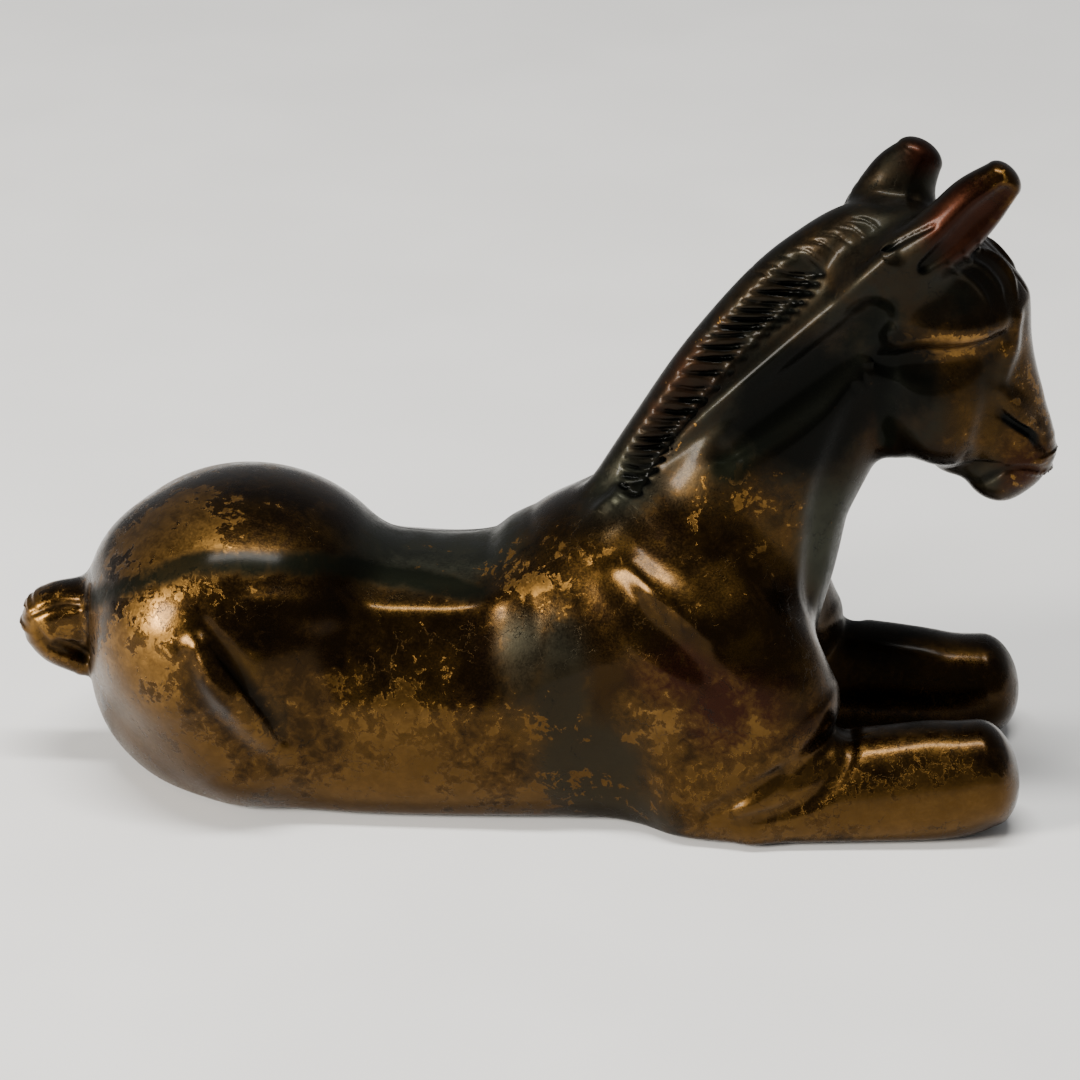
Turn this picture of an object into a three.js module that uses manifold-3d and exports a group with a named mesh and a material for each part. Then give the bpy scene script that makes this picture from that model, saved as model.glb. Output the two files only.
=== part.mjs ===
// Bronze statuette of a foal lying down, neck raised and forelegs stretched out in front.
// The foal is cast in sections. Each section has a tenon that sits in a socket of its neighbour
// and is locked by a bronze pin, and the seams are filed flush. The trunk is hollow and open
// underneath, and bronze plugs close the holes that its core pins left.
// Frame: millimetres, +X to the head, +Y to the foal's left, +Z up, z = 0 on the table.

import * as THREE from 'three';
import { mergeVertices } from 'three/addons/utils/BufferGeometryUtils.js';
import Module from 'manifold-3d';

const wasm = await Module();
wasm.setup();

// Driving dimensions.
const RUMP_HEIGHT = 45;
const BACK_HEIGHT = 35;
const TRUNK_HALF_WIDTH = 22.5;
const POLL_HEIGHT = 84;
const NECK_HALF_WIDTH = 10.5;
const HEAD_HALF_WIDTH = 9;
const EAR_HEIGHT = 91.5;
const FORELEG_SPREAD = 15;
const FORELEG_HEIGHT = 13.5;
const FORELEG_END = 64.5;
const UNDERCUT = 4.8;
const FORELEG_UNDERCUT = 3;
const GAP = 0.3;
const PIN_RADIUS = 1.3;
const PLUG_RADIUS = 2;
const CORE_HALF_HEIGHT = 20;
const BLOCK_DEPTH = 70;
const ROUND_SIDES = 20;
const RIGHT = -1;
const LEFT = 1;

const BRONZE = { color: 0x6b4a24, roughness: 0.42, metalness: 0.9 };
const CAST_SKIN = { color: 0x4d3a22, roughness: 0.6, metalness: 0.85 };
const PIN_METAL = { color: 0x8f6a34, roughness: 0.5, metalness: 0.9 };

function solid(geometry) {
  geometry.deleteAttribute('normal');
  geometry.deleteAttribute('uv');
  const merged = mergeVertices(geometry, 1e-4);
  return new wasm.Manifold(new wasm.Mesh({
    numProp: 3,
    vertProperties: new Float32Array(merged.attributes.position.array),
    triVerts: new Uint32Array(merged.index.array),
  }));
}

function joined(solids) {
  return solids.reduce((sum, next) => sum.add(next));
}

// A loft with round ends along a smooth spine. A station is [x, y, z, half width, half height];
// the width is across the foal and the height is square to the spine. end is the share of the
// length that each end takes to round off, so a small value gives a blunt end.
function loft(stations, { sides = 18, rings = 16, end = 0.16 } = {}) {
  const spine = new THREE.CatmullRomCurve3(stations.map(([x, y, z]) => new THREE.Vector3(x, y, z)));
  const sizes = new THREE.CatmullRomCurve3(stations.map((s) => new THREE.Vector3(s[3], s[4], 0)));
  const geometry = new THREE.SphereGeometry(1, sides, rings);
  const position = geometry.attributes.position;
  const across = new THREE.Vector3();
  const upward = new THREE.Vector3();
  const point = new THREE.Vector3();
  for (let i = 0; i < position.count; i += 1) {
    point.fromBufferAttribute(position, i);
    const along = (1 - point.y) / 2;
    const inset = Math.max(0, 1 - Math.min(along, 1 - along) / end);
    const ringRadius = Math.hypot(point.x, point.z) || 1;
    const round = Math.sqrt(Math.max(0, 1 - inset * inset));
    const tangent = spine.getTangent(along);
    across.set(0, 1, 0).addScaledVector(tangent, -tangent.y).normalize();
    upward.crossVectors(tangent, across).negate();
    const size = sizes.getPoint(along);
    const middle = spine.getPoint(along);
    middle.addScaledVector(across, (point.x / ringRadius) * size.x * round);
    middle.addScaledVector(upward, (point.z / ringRadius) * size.y * round);
    position.setXYZ(i, middle.x, middle.y, middle.z);
  }
  const body = solid(geometry);
  return body.volume() > 0 ? body : solid(flipped(geometry));
}

function flipped(geometry) {
  const index = geometry.index.array;
  for (let i = 0; i < index.length; i += 3) {
    [index[i], index[i + 1]] = [index[i + 1], index[i]];
  }
  return geometry;
}

function rod(from, to, radius, sides = ROUND_SIDES) {
  const start = new THREE.Vector3(...from);
  const stop = new THREE.Vector3(...to);
  const run = stop.clone().sub(start);
  const cylinder = new THREE.CylinderGeometry(radius, radius, run.length(), sides);
  const turn = new THREE.Quaternion().setFromUnitVectors(
    new THREE.Vector3(0, 1, 0),
    run.clone().normalize(),
  );
  cylinder.applyQuaternion(turn);
  cylinder.translate(...start.add(stop).multiplyScalar(0.5).toArray());
  return solid(cylinder);
}

// The block that takes a joint's outer section: square to the joint's normal, it starts offset
// beyond the joint plane and reaches to each side of the joint's centre.
function jointBlock(joint, offset) {
  const block = new THREE.BoxGeometry(2 * joint.reach, 2 * joint.reach, BLOCK_DEPTH);
  block.translate(0, 0, BLOCK_DEPTH / 2 + offset);
  const normal = new THREE.Vector3(...joint.normal).normalize();
  block.applyQuaternion(new THREE.Quaternion().setFromUnitVectors(new THREE.Vector3(0, 0, 1), normal));
  block.translate(...joint.at);
  return solid(block);
}

function alongNormal(joint, distance) {
  const normal = new THREE.Vector3(...joint.normal).normalize();
  const centre = new THREE.Vector3(...(joint.tenonAt ?? joint.at));
  return centre.addScaledVector(normal, distance).toArray();
}

// Trunk: barrel with a high round rump and withers, cut flat where it lies on the table.
function trunk() {
  const belly = -UNDERCUT;
  const ring = (x, top, wide) => [x, 0, (top + belly) / 2, wide, (top - belly) / 2];
  return loft([
    [-59.5, 0, 22, 9, 11],
    [-54.3, 0, 20.5, 18.5, 19],
    ring(-43, RUMP_HEIGHT, 24.5),
    ring(-33, RUMP_HEIGHT - 1.5, 23.5),
    ring(-22, BACK_HEIGHT + 3, TRUNK_HALF_WIDTH),
    ring(-8, BACK_HEIGHT, 21.5),
    ring(6, BACK_HEIGHT + 7, TRUNK_HALF_WIDTH),
    ring(20, BACK_HEIGHT + 8, 23.5),
    ring(32, BACK_HEIGHT, 20),
    [40, 0, 17, 13, 15],
  ], { sides: 24, rings: 24, end: 0.04 });
}

function shoulder(side) {
  return loft([
    [14, side * 10, 33, 8, 7],
    [22, side * 14, 24, 9, 10],
    [30, side * 15, 15, 8.5, 11],
    [39, side * FORELEG_SPREAD, 8, 7.5, 9],
  ], { sides: 14, rings: 12, end: 0.3 });
}

function haunch(side) {
  return loft([
    [-55, side * 9, 26, 9, 12],
    [-46, side * 14, 25, 10.5, 16],
    [-38, side * 16, 18, 8.5, 13],
    [-31, side * 18.5, 11, 4.5, 5],
  ], { sides: 14, rings: 12, end: 0.3 });
}

// Foreleg: blunt, nearly square in section, flat on the table from elbow to foot.
function foreleg(side) {
  const y = side * FORELEG_SPREAD;
  const low = -FORELEG_UNDERCUT;
  const ring = (x, top, wide) => [x, y, (top + low) / 2, wide, (top - low) / 2];
  return loft([
    ring(30, FORELEG_HEIGHT, 7),
    ring(42, FORELEG_HEIGHT, 7.5),
    ring(54, FORELEG_HEIGHT - 1, 7.5),
    ring(FORELEG_END - 1, FORELEG_HEIGHT, 7.5),
  ], { sides: 16, rings: 10, end: 0.1 });
}

function neck() {
  return loft([
    [18, 0, 24, 14, 16],
    [24, 0, 34, 13.5, 17],
    [29, 0, 45.5, 11.5, 14.5],
    [34.5, 0, 57, NECK_HALF_WIDTH, 12.8],
    [40, 0, 66.5, 8.4, 11.6],
    [47, 0, 74, HEAD_HALF_WIDTH, 9.5],
  ], { sides: 18, rings: 14, end: 0.08 });
}

// Mane: a narrow raised band along the crest, from the withers to the poll.
function mane() {
  return loft([
    [7.3, 0, 38.5, 3, 3.8],
    [15.8, 0, 50.5, 4, 4],
    [22.2, 0, 60.7, 4.2, 4],
    [29.9, 0, 70.5, 4.2, 4],
    [38, 0, 77.6, 4.4, 4],
    [47, 0, POLL_HEIGHT - 4, 4.6, 3.6],
  ], { sides: 10, rings: 14, end: 0.06 });
}

function head() {
  const skull = loft([
    [45, 0, 78, HEAD_HALF_WIDTH, 8],
    [52, 0, 72.3, HEAD_HALF_WIDTH + 0.2, 10.4],
    [55.6, 0, 65.5, HEAD_HALF_WIDTH - 0.6, 10.2],
    [58.6, 0, 57.5, 6.6, 8.6],
    [61.8, 0, 50.5, 5.6, 7.2],
    [63, 0, 44.5, 4.6, 5],
  ], { sides: 16, rings: 14, end: 0.1 });
  const cheeks = [RIGHT, LEFT].map((side) => loft([
    [49, side * 4, 60, 4.5, 6],
    [54, side * 4.5, 56, 4.8, 8.5],
    [59, side * 3.5, 52, 4, 6],
  ], { sides: 12, rings: 10, end: 0.4 }));
  const brows = [RIGHT, LEFT].map((side) => loft([
    [50, side * 8.2, 67.4, 1.5, 1.2],
    [54, side * 8.4, 69, 1.8, 1.6],
    [58.5, side * 7, 68.6, 1.5, 1.2],
  ], { sides: 10, rings: 8, end: 0.4 }));
  const nostrils = [RIGHT, LEFT].map((side) => loft([
    [62.5, side * 4, 54, 1.5, 1.4],
    [65.2, side * 4.2, 51, 1.9, 1.9],
    [66.6, side * 3.4, 48.5, 1.5, 1.5],
  ], { sides: 10, rings: 8, end: 0.4 }));
  return joined([skull, ...cheeks, ...brows, ...nostrils]);
}

function forelock() {
  return loft([
    [52, 0, 80, 3.5, 2.2],
    [57.5, 0, 77, 4, 2.2],
    [62, 0, 71.5, 2.5, 1.8],
  ], { sides: 10, rings: 8, end: 0.3 });
}

// The ears differ: the right one points forward, the left one is upright and set further back.
function rightEar() {
  return loft([
    [45.5, -6, 76.5, 3.8, 4.5],
    [52, -7, 82, 4, 4.8],
    [57, -7.2, 86.7, 3.5, 4.2],
    [60.8, -7, 90, 2.9, 3],
  ], { sides: 14, rings: 12, end: 0.12 });
}

function leftEar() {
  return loft([
    [46, 6.6, 77, 3.7, 4.5],
    [47, 7.1, 82, 3.6, 5],
    [49, 7.2, 86.5, 3.4, 4.4],
    [51, 7, EAR_HEIGHT - 2, 2.6, 2.8],
  ], { sides: 14, rings: 12, end: 0.12 });
}

// Tail: a short stub that curls down, its tip back on the buttock.
function tail() {
  return loft([
    [-56, 0, 26.5, 4.5, 4],
    [-63, 0, 25.8, 5, 4],
    [-66.3, 0, 21, 4.8, 3.6],
    [-64, 0, 16.2, 4, 3],
    [-58, 0, 15.5, 3, 2.5],
  ], { sides: 12, rings: 14, end: 0.06 });
}

// The core's hollow, open at the table. The metal round it is 4 to 8 mm thick.
function coreHollow() {
  const ring = (x, top, wide) => [x, 0, top - CORE_HALF_HEIGHT, wide, CORE_HALF_HEIGHT];
  return loft([
    ring(-43, 24, 4.5),
    ring(-30, 28, 8),
    ring(-10, 26, 9.5),
    ring(8, 26, 9.5),
    ring(20, 22, 7),
  ], { sides: 16, rings: 12, end: 0.12 });
}

function table() {
  const block = new THREE.BoxGeometry(200, 100, 40);
  block.translate(0, 0, -20);
  return solid(block);
}

// A joint: its plane, how far the plane reaches, the tenon of the outer section, and the pins
// that lock it, each from one end to the other.
function pairOfJoints(name, make) {
  return [[RIGHT, 'right'], [LEFT, 'left']].map(([side, word]) => (
    { name: `${word}_${name}`, ...make(side, word) }
  ));
}

const JOINTS = [
  {
    name: 'right_ear',
    at: [55.9, -7.2, 85.6],
    normal: [0.76, 0, 0.65],
    reach: 6.5,
    tenon: [1.6, 4],
    pins: {},
  },
  {
    name: 'left_ear',
    at: [47.4, 9.3, 84.3],
    normal: [0.25, 0, 0.97],
    reach: 6,
    tenonAt: [47.4, 7, 84.3],
    tenon: [1.6, 4],
    pins: {},
  },
  {
    name: 'head_casting',
    at: [43.5, 0, 66],
    normal: [0.987, 0, 0.16],
    reach: 28,
    tenon: [4.5, 9],
    pins: { head_pin: [[38.2, -4.6, 65.2], [38.2, 4.6, 65.2]] },
  },
  {
    name: 'neck_casting',
    at: [25, 0, 36],
    normal: [0.5, 0, 0.866],
    reach: 26,
    tenonAt: [23.5, 0, 36.9],
    tenon: [6.5, 9],
    pins: {
      right_neck_pin: [[21.2, -12, 32.4], [21.2, -3.2, 32.4]],
      left_neck_pin: [[21.2, 12, 32.4], [21.2, 3.2, 32.4]],
    },
  },
  {
    name: 'tail',
    at: [-62.6, 0, 22.4],
    normal: [-1, 0, 0],
    reach: 9.7,
    tenonAt: [-62.6, 0, 25.8],
    tenon: [2, 6],
    pins: { tail_pin: [[-58.6, 0, 22], [-58.6, 0, 29.5]] },
  },
  ...pairOfJoints('foreleg', (side, word) => ({
    at: [43.5, side * FORELEG_SPREAD, 6],
    normal: [1, 0, 0],
    reach: 14.5,
    tenon: [3.5, 9],
    pins: { [`${word}_foreleg_pin`]: [[39, side * FORELEG_SPREAD, 1], [39, side * FORELEG_SPREAD, 11]] },
  })),
  ...pairOfJoints('hind_leg', (side, word) => ({
    at: [-43, side * 16.5, 19],
    normal: [-0.447, side * 0.894, 0],
    reach: 40,
    tenon: [3.5, 5],
    pins: { [`${word}_hind_leg_pin`]: [[-41.6, side * 13.9, 8], [-41.6, side * 13.9, 25]] },
  })),
];

// Plugs in the trunk's wall, from the hollow towards the skin.
const PLUGS = {
  right_flank_plug: [[-12, -6.9, 17.6], [-12, -18.0, 20]],
  left_flank_plug: [[-12, 6.9, 17.6], [-12, 18.0, 20]],
  back_plug: [[-8, 0, 24.5], [-8, 0, 31.8]],
};

const group = new THREE.Group();

function place(name, body, look) {
  const { vertProperties, triVerts } = body.getMesh();
  const geometry = new THREE.BufferGeometry();
  geometry.setAttribute('position', new THREE.BufferAttribute(new Float32Array(vertProperties), 3));
  geometry.setIndex(new THREE.BufferAttribute(new Uint32Array(triVerts), 1));
  geometry.computeVertexNormals();
  const mesh = new THREE.Mesh(geometry, new THREE.MeshStandardMaterial(look));
  mesh.name = name;
  group.add(mesh);
}

function foal() {
  const sides = [RIGHT, LEFT].flatMap((side) => [shoulder(side), haunch(side), foreleg(side)]);
  const whole = [trunk(), ...sides, neck(), mane(), head(), forelock(), rightEar(), leftEar(), tail()];
  return joined(whole).subtract(table());
}

// Cuts each outer section off in turn, with its tenon, socket and pins, and gives what is left.
function cutSections(body) {
  let rest = body;
  for (const joint of JOINTS) {
    const [tenonRadius, tenonLength] = joint.tenon;
    const tenon = rod(alongNormal(joint, 2), alongNormal(joint, -tenonLength), tenonRadius);
    const socket = rod(alongNormal(joint, 2), alongNormal(joint, -tenonLength - GAP), tenonRadius + GAP);
    let section = rest.intersect(jointBlock(joint, GAP / 2)).add(tenon);
    rest = rest.subtract(jointBlock(joint, -GAP / 2)).subtract(socket);
    for (const [name, [from, to]] of Object.entries(joint.pins)) {
      const hole = rod(from, to, PIN_RADIUS + GAP);
      section = section.subtract(hole);
      rest = rest.subtract(hole);
      place(name, rod(from, to, PIN_RADIUS, 12), PIN_METAL);
    }
    place(joint.name, section, BRONZE);
  }
  return rest;
}

function addTrunk(body) {
  let casting = body.subtract(coreHollow());
  for (const [name, [from, to]] of Object.entries(PLUGS)) {
    casting = casting.subtract(rod(from, to, PLUG_RADIUS + GAP));
    place(name, rod(from, to, PLUG_RADIUS, 14), PIN_METAL);
  }
  place('trunk_casting', casting, CAST_SKIN);
}

addTrunk(cutSections(foal()));

export default group;
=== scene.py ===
"""A small cast bronze of a foal lying down.

The castings' surface is one smooth form, worked out as a distance field in millimetres and meshed
piece by piece, so that neighbouring pieces meet at the joint planes with no seam. The joint pins and
the core plugs are the frame's own nodes, hidden in the metal.
"""

import math

import bmesh
import bpy
import numpy as np
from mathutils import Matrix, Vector


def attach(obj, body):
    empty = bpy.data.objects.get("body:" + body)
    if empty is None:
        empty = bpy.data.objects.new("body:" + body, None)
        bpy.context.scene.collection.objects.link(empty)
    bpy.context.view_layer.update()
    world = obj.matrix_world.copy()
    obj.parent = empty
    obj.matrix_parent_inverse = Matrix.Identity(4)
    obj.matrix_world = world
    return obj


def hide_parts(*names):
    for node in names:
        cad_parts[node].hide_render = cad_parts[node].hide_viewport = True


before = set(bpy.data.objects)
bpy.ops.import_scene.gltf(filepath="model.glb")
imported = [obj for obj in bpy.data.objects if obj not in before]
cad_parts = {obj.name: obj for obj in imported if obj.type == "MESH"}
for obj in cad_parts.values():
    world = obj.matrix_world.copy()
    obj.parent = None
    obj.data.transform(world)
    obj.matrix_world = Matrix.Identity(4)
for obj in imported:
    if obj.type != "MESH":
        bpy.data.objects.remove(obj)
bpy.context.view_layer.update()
MM = 0.001

# ---------------------------------------------------------------- signed distance field, in mm
FAR = np.float32(60.0)
TABLE = 240          # samples along a spine
COARSE = 14          # straight pieces used to find the nearest point of a spine
THINNEST = 0.05      # least half width of a spine
PAST_BOX = 2.5       # how far past a shape's box, and its softness, the field is worked out again
TINY = 1e-6


def catmull_rom(points, samples):
    """Smooth curve through the rows of points, as samples rows."""
    points = np.asarray(points, float)
    ends = [2 * points[0] - points[1], 2 * points[-1] - points[-2]]
    padded = np.vstack([ends[0], points, ends[1]])
    where = np.linspace(0, len(points) - 1, samples)
    i = np.minimum(where.astype(int), len(points) - 2)
    t = (where - i)[:, None]
    a, b, c, d = (padded[i + k] for k in range(4))
    return 0.5 * (2 * b + (c - a) * t + (2 * a - 5 * b + 4 * c - d) * t**2 + (3 * b - a - 3 * c + d) * t**3)


class Spine:
    """A smooth centre line with an elliptical section: rows of x, y, z, half width, half height.

    end is how far the rounded ends stand past the first and last rows.
    """

    def __init__(self, stations, end):
        table = catmull_rom(stations, TABLE)
        self.centre = table[:, :3]
        self.size = np.maximum(table[:, 3:5], THINNEST)
        tangent = np.gradient(self.centre, axis=0)
        self.speed = np.linalg.norm(tangent, axis=1)
        self.tangent = tangent / self.speed[:, None]
        across = np.array([0.0, 1.0, 0.0]) - self.tangent * self.tangent[:, 1:2]
        self.across = across / np.linalg.norm(across, axis=1)[:, None]
        self.upward = np.cross(self.tangent, self.across)
        self.end = end if np.iterable(end) else (end, end)
        reach = self.size.max() + max(self.end)
        self.low, self.high = self.centre.min(0) - reach, self.centre.max(0) + reach

    def nearest(self, p):
        """Where in the table each point's nearest centre is: the nearest straight piece, then two moves."""
        knots = np.linspace(0, TABLE - 1, COARSE + 1).round().astype(int)
        best = np.full(p[0].shape, np.inf, np.float32)
        u = np.zeros_like(best)
        for a, b in zip(knots[:-1], knots[1:]):
            start, run = self.centre[a], self.centre[b] - self.centre[a]
            q = [p[k] - np.float32(start[k]) for k in range(3)]
            t = np.clip(sum(q[k] * np.float32(run[k]) for k in range(3)) / np.float32(run @ run), 0, 1)
            gap = sum((q[k] - t * np.float32(run[k])) ** 2 for k in range(3))
            nearer = gap < best
            best[nearer] = gap[nearer]
            u[nearer] = (a + t * (b - a))[nearer]
        furthest = TABLE / COARSE
        for _ in range(2):
            centre, tangent = self.at(self.centre, u), self.at(self.tangent, u)
            ahead = sum((p[k] - centre[k]) * tangent[k] for k in range(3))
            move = np.clip(ahead / self.at(self.speed[:, None], u)[0], -furthest, furthest)
            u = np.clip(u + 0.9 * move, 0, TABLE - 1)
        return u

    def distance(self, x, y, z):
        """About the distance to the spine's skin, negative inside, and exact on the skin."""
        x, y, z = np.broadcast_arrays(x, y, z)
        p = [a.ravel().astype(np.float32) for a in (x, y, z)]
        u = self.nearest(p)
        centre, tangent = self.at(self.centre, u), self.at(self.tangent, u)
        across, upward = self.at(self.across, u), self.at(self.upward, u)
        wide, high = self.at(self.size, u)
        q = [p[k] - centre[k] for k in range(3)]
        a, v, w = (sum(q[k] * axis[k] for k in range(3)) for axis in (across, upward, tangent))
        tip = np.where(u < TABLE / 2, np.float32(self.end[0]), np.float32(self.end[1]))
        w = np.where((u <= 0.01) | (u >= TABLE - 1.01), w, 0)
        near = np.sqrt((a / wide) ** 2 + (v / high) ** 2 + (w / tip) ** 2)
        slope = np.sqrt((a / wide**2) ** 2 + (v / high**2) ** 2 + (w / tip**2) ** 2)
        found = np.where(slope > TINY, near * (near - 1) / np.maximum(slope, TINY), -np.minimum(wide, high))
        return found.reshape(x.shape).astype(np.float32)

    @staticmethod
    def at(table, u):
        i = np.minimum(u.astype(np.int32), TABLE - 2)
        t = (u - i).astype(np.float32)
        rows = table.astype(np.float32)
        return [rows[i, k] * (1 - t) + rows[i + 1, k] * t for k in range(rows.shape[1])]


class Ball:
    """An ellipsoid: centre, half sizes, and a turn in degrees about Y."""

    def __init__(self, centre, size, pitch=0.0):
        self.centre, self.size = np.asarray(centre, float), np.asarray(size, float)
        c, s = math.cos(math.radians(pitch)), math.sin(math.radians(pitch))
        self.axes = np.array([[c, 0, -s], [0, 1, 0], [s, 0, c]])
        reach = self.size.max()
        self.low, self.high = self.centre - reach, self.centre + reach

    def distance(self, x, y, z):
        q = [x - np.float32(self.centre[0]), y - np.float32(self.centre[1]), z - np.float32(self.centre[2])]
        local = [sum(q[k] * np.float32(axis[k]) for k in range(3)) for axis in self.axes]
        near = np.sqrt(sum((v / np.float32(s)) ** 2 for v, s in zip(local, self.size)))
        slope = np.sqrt(sum((v / np.float32(s) ** 2) ** 2 for v, s in zip(local, self.size)))
        return near * (near - 1) / np.maximum(slope, 1e-4)


class Field:
    """A box of samples of the distance to the foal's skin, negative inside."""

    def __init__(self, low, high, step):
        self.low, self.step = np.asarray(low, float), step
        counts = np.ceil((np.asarray(high) - self.low) / step).astype(int) + 1
        self.axes = [(self.low[k] + step * np.arange(counts[k])).astype(np.float32) for k in range(3)]
        self.d = np.full(counts, FAR, np.float32)

    def window(self, shape, margin, mirrored):
        low, high = shape.low - margin, shape.high + margin
        if mirrored:
            side = max(abs(low[1]), abs(high[1]))
            low, high = np.array([low[0], -side, low[2]]), np.array([high[0], side, high[2]])
        spans = []
        for k in range(3):
            a, b = np.searchsorted(self.axes[k], [low[k], high[k]])
            if b <= a:
                return None
            spans.append(slice(a, b))
        x, y, z = (self.axes[k][spans[k]] for k in range(3))
        y = np.abs(y) if mirrored else y
        return tuple(spans), x[:, None, None], y[None, :, None], z[None, None, :]

    def add(self, shape, soft=1.0, mirrored=False):
        """Joins a shape on, blended over about soft mm."""
        found = self.window(shape, soft + PAST_BOX, mirrored)
        if found:
            spans, x, y, z = found
            self.d[spans] = smooth_least(self.d[spans], shape.distance(x, y, z), soft)

    def carve(self, shape, soft=0.6, mirrored=False):
        """Cuts a shape away, with an edge rounded over about soft mm."""
        found = self.window(shape, soft + PAST_BOX, mirrored)
        if found:
            spans, x, y, z = found
            self.d[spans] = -smooth_least(-self.d[spans], shape.distance(x, y, z), soft)

    def sample(self, points):
        """The field at points, by the eight samples round each."""
        q = (points - self.low) / self.step
        i = np.clip(np.floor(q).astype(int), 0, np.array(self.d.shape) - 2)
        t = q - i
        total = 0.0
        for corner in np.ndindex(2, 2, 2):
            share = np.prod([t[:, k] if corner[k] else 1 - t[:, k] for k in range(3)], axis=0)
            total = total + share * self.d[i[:, 0] + corner[0], i[:, 1] + corner[1], i[:, 2] + corner[2]]
        return total

    def slope(self, points):
        """Unit vector away from the metal at each point."""
        reach = self.step * 0.75
        steps = [np.eye(3)[k] * reach for k in range(3)]
        grad = np.stack([self.sample(points + s) - self.sample(points - s) for s in steps], axis=1)
        return grad / np.maximum(np.linalg.norm(grad, axis=1), 1e-9)[:, None]


def smooth_least(a, b, soft):
    """The smaller of two distances, rounded where they are within soft of each other."""
    if soft <= 0:
        return np.minimum(a, b)
    share = np.clip(0.5 + 0.5 * (b - a) / soft, 0, 1).astype(np.float32)
    return b + (a - b) * share - np.float32(soft) * share * (1 - share)


def pairs_along(axis):
    """Slices of all samples but the last, and of all but the first, along one axis."""
    low, high = [slice(None)] * 3, [slice(None)] * 3
    low[axis], high[axis] = slice(0, -1), slice(1, None)
    return tuple(low), tuple(high)


def cell_sums(d, cells):
    """For each cell, the sum of the points where the skin crosses its edges, and their number."""
    total = np.zeros(cells + (3,), np.float32)
    count = np.zeros(cells, np.float32)
    for axis in range(3):
        low, high = pairs_along(axis)
        da, db = d[low], d[high]
        cross = (da < 0) != (db < 0)
        where = np.argwhere(cross)
        point = where.astype(np.float32)
        point[:, axis] += (da[cross] / (da[cross] - db[cross])).astype(np.float32)
        b, c = (k for k in range(3) if k != axis)
        for back_b, back_c in np.ndindex(2, 2):
            cell = where.copy()
            cell[:, b] -= back_b
            cell[:, c] -= back_c
            fits = ((cell >= 0) & (cell < cells)).all(1)
            into = tuple(cell[fits].T)
            np.add.at(total, into, point[fits])
            np.add.at(count, into, 1)
    return total, count


def cell_faces(inside, number, cells):
    """A four-sided face between the four cells round each edge that crosses the skin, facing out."""
    faces = []
    for axis in range(3):
        b, c = (axis + 1) % 3, (axis + 2) % 3
        low, high = pairs_along(axis)
        where = np.argwhere(inside[low] != inside[high])
        where = where[((where[:, [b, c]] >= 1) & (where[:, [b, c]] < [cells[b], cells[c]])).all(1)]
        outward = inside[low][tuple(where.T)]
        corners = []
        for back_b, back_c in ((1, 1), (0, 1), (0, 0), (1, 0)):
            cell = where.copy()
            cell[:, b] -= back_b
            cell[:, c] -= back_c
            corners.append(number[tuple(cell.T)])
        quad = np.stack(corners, 1)
        quad[~outward] = quad[~outward][:, ::-1]
        faces.append(quad)
    faces = np.concatenate(faces)
    return faces[(faces >= 0).all(1)]


def surface(field):
    """The field's zero surface as points and four-sided faces, facing out."""
    cells = tuple(n - 1 for n in field.d.shape)
    total, count = cell_sums(field.d, cells)
    used = count > 0
    number = np.full(cells, -1, np.int64)
    number[used] = np.arange(used.sum())
    points = total[used] / count[used][:, None] * field.step + field.low
    return points, cell_faces(field.d < 0, number, cells)


def settle(field, points):
    """Moves surface points onto the zero surface, most of the way in each of three rounds."""
    for _ in range(3):
        points = points - field.slope(points) * field.sample(points)[:, None] * 0.8
    return points


# ---------------------------------------------------------------- the foal's form
# Spines are rows of x, y, z, half width, half height. The number after a shape is how softly it joins.
def trunk(field):
    """Barrel, belly, rump, buttocks, haunches and shoulders."""
    field.add(Spine([
        (-38, 0, 14.5, 20.5, 18.2), (-25, 0, 14.2, 20.5, 19.3), (-12, 0, 14.0, 20.5, 18.9),
        (-4, 0, 14.5, 20.6, 19.6), (3, 0, 15.9, 20.8, 22.2), (12, 0, 17.5, 21.2, 25.0),
        (21, 0, 17.0, 21.0, 23.0), (31, 0, 16.0, 16.5, 18.0),
    ], end=(18, 5.6)), 0)
    field.add(Spine([
        (-37, 8.0, 6.4, 8.2, 8.0), (-22, 9.6, 6.0, 8.2, 8.0), (-6, 9.0, 6.0, 8.2, 8.0),
        (9, 7.6, 6.4, 8.2, 8.0),
    ], end=(8, 8)), 6, True)
    field.add(Ball((-39.6, 0, 22.2), (22.0, 22.6, 19.9)), 2.5)
    field.add(Ball((-38.4, 0, 12.8), (23.2, 18.6, 18.2)), 4)
    field.add(Ball((-51.8, 0, 26.6), (8.4, 9.0, 8.6)), 4)
    field.add(Spine([
        (-44, 9.0, 24, 12, 14), (-42.5, 11.0, 20, 11.5, 13), (-40.5, 12.5, 15, 10.0, 10.5),
        (-38.5, 14.5, 10.5, 7.0, 8.0), (-37.0, 15.5, 8.0, 5.0, 6.0),
    ], end=(12, 4.0)), 5, True)
    field.add(Spine([
        (11, 6, 34, 7, 6), (18, 10.5, 30, 9, 9), (26, 13.5, 23, 9.5, 11.5), (31, 13.5, 15, 9.5, 11),
    ], end=(5, 7.5)), 4, True)


def legs(field):
    near = [
        (14, -8, 4.6, 5.6, 6.2), (21, -13.3, 5.0, 8.6, 8.8), (30, -14.8, 5.2, 8.8, 9.2),
        (42, -14.6, 5.2, 7.8, 8.4), (54, -14.2, 6.4, 7.3, 8.6), (60.6, -13.8, 7.9, 6.8, 7.4),
    ]
    far = [
        (14, 8, 4.6, 5.6, 6.2), (21, 12.8, 5.0, 8.4, 8.8), (30, 14.5, 6.2, 8.2, 10.0),
        (42, 15.0, 6.4, 7.6, 9.8), (54, 15.2, 6.0, 7.2, 8.9), (61.2, 15.4, 7.3, 6.8, 7.0),
    ]
    for rows in (near, far):
        field.add(Spine(rows[:3], end=6), 6)
        field.add(Spine(rows[2:], end=(6, 4.6)), 2)


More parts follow.
